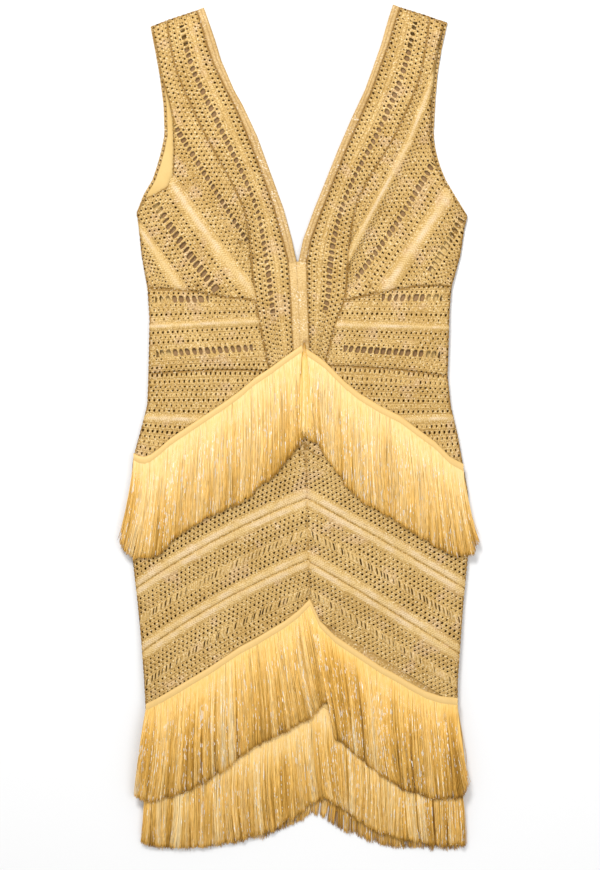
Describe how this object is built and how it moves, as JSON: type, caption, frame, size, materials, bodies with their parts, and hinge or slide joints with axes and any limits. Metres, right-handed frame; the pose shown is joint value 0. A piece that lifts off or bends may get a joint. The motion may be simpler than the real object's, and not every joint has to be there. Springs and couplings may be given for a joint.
{
  "type": "mini dress",
  "caption": "Sleeveless deep V neck mini dress in striped crochet with tiers of long fringe, laid flat on its back.",
  "frame": {"origin": "on the surface the dress lies on, under the middle of its outline", "axes": "+Y up the dress from hem to shoulders, +X across it to the right of someone who looks at its front, +Z out of its front"},
  "size_m": [0.3804, 0.8993, 0.019],
  "materials": {
    "crochet": "gold cotton crochet with eyelets and ladder stitch",
    "binding": "smooth gold knit binding with metallic thread",
    "back_lining": "smooth gold jersey",
    "front_lining": "matt taupe mesh",
    "fringe": "silky gold fringe with metallic threads"
  },
  "bodies": {
    "root": {"front_centre_insert": "binding", "front_neck_binding_left": "binding", "front_neck_binding_right": "binding", "back_neck_binding_left": "binding", "back_neck_binding_right": "binding", "front_neck_band_left": "crochet", "front_neck_band_right": "crochet", "front_bust_left": "crochet", "front_bust_right": "crochet", "front_midriff_left": "crochet", "front_midriff_right": "crochet", "front_hip_yoke_left": "crochet", "front_hip_yoke_right": "crochet", "front_skirt_left": "crochet", "front_skirt_right": "crochet", "back_bodice_left": "crochet", "back_bodice_right": "crochet", "back_skirt_left": "crochet", "back_skirt_right": "crochet", "front_lining_left": "front_lining", "front_lining_right": "front_lining", "back_lining_left": "back_lining", "back_lining_right": "back_lining", "front_fringe_1_left": "fringe", "front_fringe_1_right": "fringe", "back_fringe_1_left": "fringe", "back_fringe_1_right": "fringe", "front_fringe_2_left": "fringe", "front_fringe_2_right": "fringe", "back_fringe_2_left": "fringe", "back_fringe_2_right": "fringe", "front_fringe_3_left": "fringe", "front_fringe_3_right": "fringe", "back_fringe_3_left": "fringe", "back_fringe_3_right": "fringe"}
  },
  "joints": []
}
